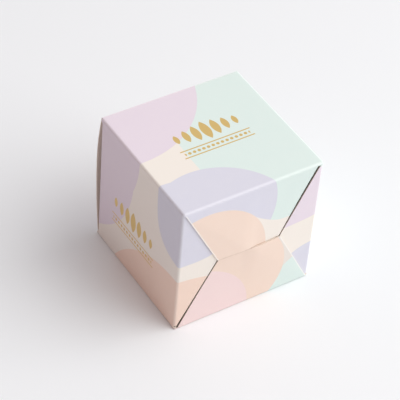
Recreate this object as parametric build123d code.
"""A small cube-shaped cosmetic carton, lying on one side panel.

It is one sheet of coated board: four panels, a glued side seam, a self-locking end
whose flaps are glued in pairs, and a tuck-in lid with two dust flaps at the other end.

X runs along the self-locking end from left to right, Y from the self-locking end to
the lid, and Z upwards. Millimetres.
"""
import math
import os

from build123d import *

# Driving sizes
LENGTH = 60.0           # along X, outside
DEPTH = 58.6            # along Y, from the self-locking end to the lid's fold
HEIGHT = 59.4           # along Z, outside
BOARD = 0.45            # thickness of the board
CREASE = 1.0            # outer radius of a fold
RUN_GAP = 0.2           # air between the lid and the carton
HINGE_GAP = 0.1         # air around the lid's hinge bead

# Self-locking end
SWELL = 1.2             # how far its middle stands out of the carton
APEX_INSET = 16.3       # from a side fold to the tip of its triangle
UPPER_SLIT = (1.8, 0.6)     # open slit beside the upper flap: at the corner, at the tip
LOWER_SLIT = (0.6, 0.8)     # the same beside the lower flap, which sits closer
TUCK_GAP = 0.1          # air between a flap and the one that it is tucked behind
CROSS_WIDTH = 3.3       # width over which a flap steps in behind its partner
CROSS_STEPS = 4         # facets in that step
CROSS_NOTCH = 0.15      # each flap is cut back by this where they change places
TONGUE_REACH = 7.0      # how far a locking tongue reaches behind the other flap
TONGUE_TAPER = 1.8      # how far each side of the tongue leans in
TONGUE_INSET = 2.0      # from the tip to the tongue
FREE_RELIEF = 0.6       # a side flap stops this short of its free corner
GLUED_RELIEF = 0.2      # and this short of its glued corner
TIP_GAP = 0.25          # a side flap's tip stops this short of the lower flap

# Glued side seam
SEAM_WIDTH = 12.0
SEAM_TAPER = 3.0

# Lid
BOW = 2.6               # how far the lid bulges outwards
BOW_HEIGHT = 36.0       # height of the bulge's highest point
LID_SIDE_GAP = 0.4      # the lid is this much narrower at each side
LID_FOLD = 0.9          # outer radius of the fold between lid and tongue
TONGUE_LENGTH = 15.0    # tuck-in tongue
TONGUE_LEAN = 9.0       # degrees that the tongue springs away from the lower panel
TONGUE_SIDE_GAP = 1.5
TONGUE_CORNER = 8.0
SLIT_LENGTH = 6.0       # locking slit at each end of the lid's lower fold
SLIT_WIDTH = 0.6

# Dust flaps
DUST_REACH = 24.0       # from the side's outer face
DUST_CORNER = 4.0
DUST_LOW_GAP = 2.3      # the tongue passes below this height
DUST_HIGH_GAP = 1.6
DUST_SHOULDER = 8.0     # straight stretch that catches the tongue's slit
DUST_TAPER = 4.0

# Worked out from the driving sizes
MID_HEIGHT = HEIGHT / 2
SLOPE = -SWELL / (MID_HEIGHT - CREASE)
TUCKED = BOARD + TUCK_GAP
CROSS_END = MID_HEIGHT + CROSS_WIDTH
RIGHT_APEX = LENGTH - APEX_INSET
DUST_FACE = DEPTH - BOARD - RUN_GAP
HINGE_Y = DEPTH - BOARD / 2
HINGE_Z = HEIGHT - BOARD / 2
TOP_END = DEPTH - BOARD - HINGE_GAP
BIG = 200.0


def prism_y(points, corner=0.0):
    """An outline in the XZ plane, carried right through along Y."""
    face = make_face(Polyline(*points, close=True))
    if corner:
        face = fillet(face.vertices(), corner)
    return Pos(0, -BIG / 2, 0) * extrude(Plane.XZ * face, amount=BIG, dir=(0, 1, 0))


def slab(x_range, y_range, z_range):
    """A straight block between two corners."""
    size = [high - low for low, high in (x_range, y_range, z_range)]
    low_corner = Pos(x_range[0], y_range[0], z_range[0])
    return low_corner * Box(*size, align=(Align.MIN, Align.MIN, Align.MIN))


def half_turn(shape):
    """The same flap at the opposite side of the self-locking end."""
    return shape.rotate(Axis((LENGTH / 2, 0, MID_HEIGHT), (0, 1, 0)), 180)


def tube_profile(width):
    """A closed ring of board with rounded folds, seen along Y."""
    outside = RectangleRounded(width, HEIGHT, CREASE)
    inside = RectangleRounded(width - 2 * BOARD, HEIGHT - 2 * BOARD, CREASE - BOARD)
    return Pos(width / 2, HEIGHT / 2) * (outside - inside)


def along_y(profile, start, end):
    """Carry an XZ profile from one Y to another."""
    return extrude(Pos(0, start, 0) * (Plane.XZ * profile), amount=end - start, dir=(0, 1, 0))


def quarter_fold(centre, start_angle):
    """A quarter ring of board: outer radius CREASE, drawn in the XY plane."""
    ring = Circle(CREASE) - Circle(CREASE - BOARD)
    wedge = Rot(0, 0, start_angle) * Rectangle(BIG, BIG, align=(Align.MIN, Align.MIN))
    return Pos(*centre) * (ring & wedge)


def make_panels():
    """The four panels, their long folds and the glued seam inside the right panel."""
    corner = Pos(LENGTH, 0) * Rectangle(LENGTH, HEIGHT, align=(Align.CENTER, Align.CENTER))
    plain = tube_profile(LENGTH) - corner
    right_wall = Pos(LENGTH - BOARD, CREASE) * Rectangle(
        BOARD, MID_HEIGHT, align=(Align.MIN, Align.MIN))
    seam_fold = tube_profile(LENGTH - BOARD) & Pos(LENGTH / 2, 0) * Rectangle(
        LENGTH, 2 * CREASE, align=(Align.MIN, Align.MIN))
    profile = plain + right_wall + seam_fold
    top_part = Pos(0, HEIGHT - CREASE) * Rectangle(LENGTH, CREASE, align=(Align.MIN, Align.MIN))
    low_part = Rectangle(LENGTH, CREASE, align=(Align.MIN, Align.MIN))

    panels = along_y(profile, CREASE + BOARD, DUST_FACE - CREASE)
    panels += along_y(profile & top_part, CREASE, TOP_END)
    panels += along_y(profile & low_part, CREASE, DEPTH)

    start = CREASE + BOARD + SEAM_TAPER / 2
    end = DUST_FACE - CREASE - SEAM_TAPER / 2
    seam_outline = make_face(Polyline(
        (start, CREASE), (start + SEAM_TAPER, CREASE + SEAM_WIDTH),
        (end - SEAM_TAPER, CREASE + SEAM_WIDTH), (end, CREASE), close=True))
    seam = Pos(LENGTH - 2 * BOARD, 0, 0) * extrude(Plane.YZ * seam_outline, amount=BOARD)
    return panels + seam


def partner_depth(x, z):
    """Depth of the lower flap's outer face: its own plane, or its glued corner's."""
    return SLOPE * min(z - CREASE, LENGTH - CREASE - x)


def seam_depths():
    """Depth of the upper flap along the middle seam, as (x, depth) pairs.

    The glued left half lies outermost. Just right of its 45 degree crease the flap
    steps in by one board, so that its free right half is tucked behind its partner.
    """
    step = partner_depth(CROSS_END, MID_HEIGHT) + TUCKED + SWELL
    pairs = [(0.0, -SWELL)]
    for i in range(CROSS_STEPS + 1):
        part = i / CROSS_STEPS
        eased = part * part * (3 - 2 * part)
        pairs.append((MID_HEIGHT + CROSS_WIDTH * part, step * eased - SWELL))
    pairs.append((RIGHT_APEX, partner_depth(RIGHT_APEX, MID_HEIGHT) + TUCKED))
    pairs.append((LENGTH, pairs[-1][1]))
    return pairs


def board_section(pairs, z):
    """A level cut through a flap: its outer line and the same line one board deeper."""
    outer = list(pairs)
    inner = [(x, depth + BOARD) for x, depth in reversed(pairs)]
    return Pos(0, 0, z) * make_face(Polyline(*outer, *inner, close=True))


def make_major_flap(slit):
    """The flap on the top panel: body, 45 degree crease, glued corner and tongue.

    slit is the width of the open slit beside its free edge, at the corner and at the tip.
    """
    slit_at_corner, slit_at_tip = slit
    fold_z = HEIGHT - CREASE
    low_z = MID_HEIGHT - TONGUE_REACH
    at_seam = seam_depths()
    at_fold = [(x, 0.0) for x, _ in at_seam]
    at_tongue = [(x, partner_depth(min(max(x, CROSS_END), RIGHT_APEX), low_z) + TUCKED)
                 for x, _ in at_seam]
    body_band = loft([board_section(at_seam, MID_HEIGHT), board_section(at_fold, fold_z)], ruled=True)
    tongue_band = loft([board_section(at_tongue, low_z), board_section(at_seam, MID_HEIGHT)], ruled=True)
    crease_end = (MID_HEIGHT - CROSS_NOTCH, MID_HEIGHT + CROSS_NOTCH)
    body = body_band & prism_y([
        (CREASE, fold_z),
        crease_end,
        (CROSS_END, MID_HEIGHT + CROSS_NOTCH),
        (CROSS_END, MID_HEIGHT),
        (RIGHT_APEX - slit_at_tip, MID_HEIGHT),
        (LENGTH - CREASE - slit_at_corner, fold_z),
    ])
    body += tongue_band & prism_y([
        (CROSS_END, MID_HEIGHT),
        (CROSS_END + TONGUE_TAPER, low_z),
        (RIGHT_APEX - TONGUE_INSET - TONGUE_TAPER, low_z),
        (RIGHT_APEX - TONGUE_INSET, MID_HEIGHT),
    ])
    corner_slab = Pos(0, 0, MID_HEIGHT - CREASE) * extrude(make_face(Polyline(
        (CREASE, 0), (LENGTH / 2, SLOPE * (LENGTH / 2 - CREASE)),
        (LENGTH / 2, SLOPE * (LENGTH / 2 - CREASE) + BOARD), (CREASE, BOARD),
        close=True)), amount=HEIGHT)
    glued_corner = corner_slab & prism_y([
        (CREASE, fold_z), (APEX_INSET, MID_HEIGHT),
        (MID_HEIGHT - CROSS_NOTCH, MID_HEIGHT), crease_end])

    fold = extrude(Plane.YZ * quarter_fold((CREASE, fold_z), 90), amount=LENGTH)
    rounded_end = Pos(0, -BIG / 2, 0) * extrude(
        Plane.XZ * (Pos(LENGTH / 2, MID_HEIGHT) * RectangleRounded(LENGTH, HEIGHT, CREASE)),
        amount=BIG, dir=(0, 1, 0))
    return body + glued_corner + (fold & rounded_end)


def make_side_flap():
    """The flap on the left panel: a triangle whose upper edge is glued under its partner."""
    low = CREASE + FREE_RELIEF
    high = HEIGHT - CREASE - GLUED_RELIEF
    reach = APEX_INSET + 2.0
    sheet = extrude(make_face(Polyline(
        (CREASE, BOARD), (reach, BOARD + SLOPE * (reach - CREASE)),
        (reach, 2 * BOARD + SLOPE * (reach - CREASE)), (CREASE, 2 * BOARD),
        close=True)), amount=HEIGHT)
    triangle = sheet & prism_y([
        (CREASE, low), (APEX_INSET - TIP_GAP, MID_HEIGHT - TIP_GAP),
        (APEX_INSET + 1.2, MID_HEIGHT + 3.8), (APEX_INSET - 4.3, MID_HEIGHT + 13.5),
        (CREASE, high)])
    fold = extrude(quarter_fold((CREASE, CREASE + BOARD), 180), amount=HEIGHT)
    return triangle + (fold & slab((0, LENGTH), (0, DEPTH), (low, high)))


def make_dust_flap():
    """The left dust flap, with a shoulder that catches the lid's slit."""
    low = DUST_LOW_GAP
    high = HEIGHT - DUST_HIGH_GAP
    outline = prism_y([
        (CREASE, low), (CREASE + DUST_SHOULDER, low),
        (CREASE + DUST_SHOULDER + 1.0, low + 1.4), (DUST_REACH, low + DUST_TAPER),
        (DUST_REACH, high - 2 * DUST_TAPER), (CREASE + 3.0, high), (CREASE, high)])
    sheet = slab((CREASE, DUST_REACH), (DUST_FACE - BOARD, DUST_FACE), (0, HEIGHT)) & outline
    free_edges = sheet.edges().filter_by(Axis.Y).group_by(Axis.X)[-1]
    sheet = fillet(free_edges, DUST_CORNER)
    fold = extrude(quarter_fold((CREASE, DUST_FACE - CREASE), 90), amount=HEIGHT)
    return sheet + (fold & slab((0, LENGTH), (0, DEPTH), (low, high)))


def make_carton_body():
    """Panels, seam, self-locking end and dust flaps: one folded and glued sheet."""
    side = make_side_flap()
    dust = make_dust_flap()
    right_dust = mirror(dust, about=Plane.YZ.offset(LENGTH / 2))
    locking_end = make_major_flap(UPPER_SLIT) + half_turn(make_major_flap(LOWER_SLIT))
    return make_panels() + locking_end + side + half_turn(side) + dust + right_dust


def bow_arc(height, top):
    """One of the two arcs of the lid's bulge, from its highest point to an end."""
    rise = abs(top - BOW_HEIGHT)
    radius = (rise ** 2 + height ** 2) / (2 * height)
    sweep = math.degrees(math.asin(rise / radius))
    return radius, sweep


def make_tuck_lid():
    """The bulging lid, its hinge bead, its lower fold and the tuck-in tongue."""
    fold_mid = LID_FOLD - BOARD / 2
    low_z = BOARD + RUN_GAP + LID_FOLD
    peak = (HINGE_Y + BOW, BOW_HEIGHT)
    upper_radius, upper_sweep = bow_arc(BOW, HINGE_Z)
    lower_radius, lower_sweep = bow_arc(BOW, low_z)
    upper = CenterArc((peak[0] - upper_radius, peak[1]), upper_radius, 0, upper_sweep)
    lower = CenterArc((peak[0] - lower_radius, peak[1]), lower_radius, 0, -lower_sweep)
    turn = lower_sweep - 90 - TONGUE_LEAN
    fold = JernArc(lower @ 1, lower % 1, fold_mid, turn)
    tongue = Line(fold @ 1, (fold @ 1) + (fold % 1) * (TONGUE_LENGTH - LID_FOLD))
    bead = Pos(HINGE_Y, HINGE_Z) * Circle(BOARD / 2)
    profile = bead
    for line in (upper, lower, fold, tongue):
        profile += trace(line, line_width=BOARD)
    width = LENGTH - 2 * LID_SIDE_GAP
    lid = Pos(LID_SIDE_GAP, 0, 0) * extrude(Plane.YZ * profile, amount=width)

    tip_y = (tongue @ 1).X
    root_y = HINGE_Y - fold_mid
    left = TONGUE_SIDE_GAP
    right = LENGTH - TONGUE_SIDE_GAP - BOARD
    far = DEPTH + BOW
    low_left = CREASE + RUN_GAP
    low_right = LENGTH - low_left
    plan = make_face(Polyline(
        (left, tip_y), (right, tip_y), (right, root_y), (low_right, root_y),
        (low_right, far), (low_left, far), (low_left, root_y), (left, root_y), close=True))
    tip_corners = plan.vertices().group_by(Axis.Y)[0]
    plan = fillet(tip_corners, TONGUE_CORNER)
    slit_y = root_y - SLIT_WIDTH
    for x in (left, right - SLIT_LENGTH):
        plan -= Pos(x, slit_y) * Rectangle(
            SLIT_LENGTH, SLIT_WIDTH, align=(Align.MIN, Align.MIN))
    above = slab((0, LENGTH), (root_y, 2 * DEPTH), (low_left, 2 * HEIGHT))
    return lid & (extrude(plan, amount=HEIGHT) + above)


def to_row_frame(shape):
    """Put the origin under the middle of the closed carton, on the surface it lies on."""
    return Pos(-LENGTH / 2, -(DEPTH + BOW - SWELL) / 2, 0) * shape


os.makedirs("parts", exist_ok=True)
for name, maker in (("carton_body", make_carton_body), ("tuck_lid", make_tuck_lid)):
    piece = to_row_frame(maker())
    solids = piece.solids()
    print(name, "solids", len(solids), "volume", round(piece.volume, 1), "mm3")
    export_step(piece, f"parts/{name}.step")
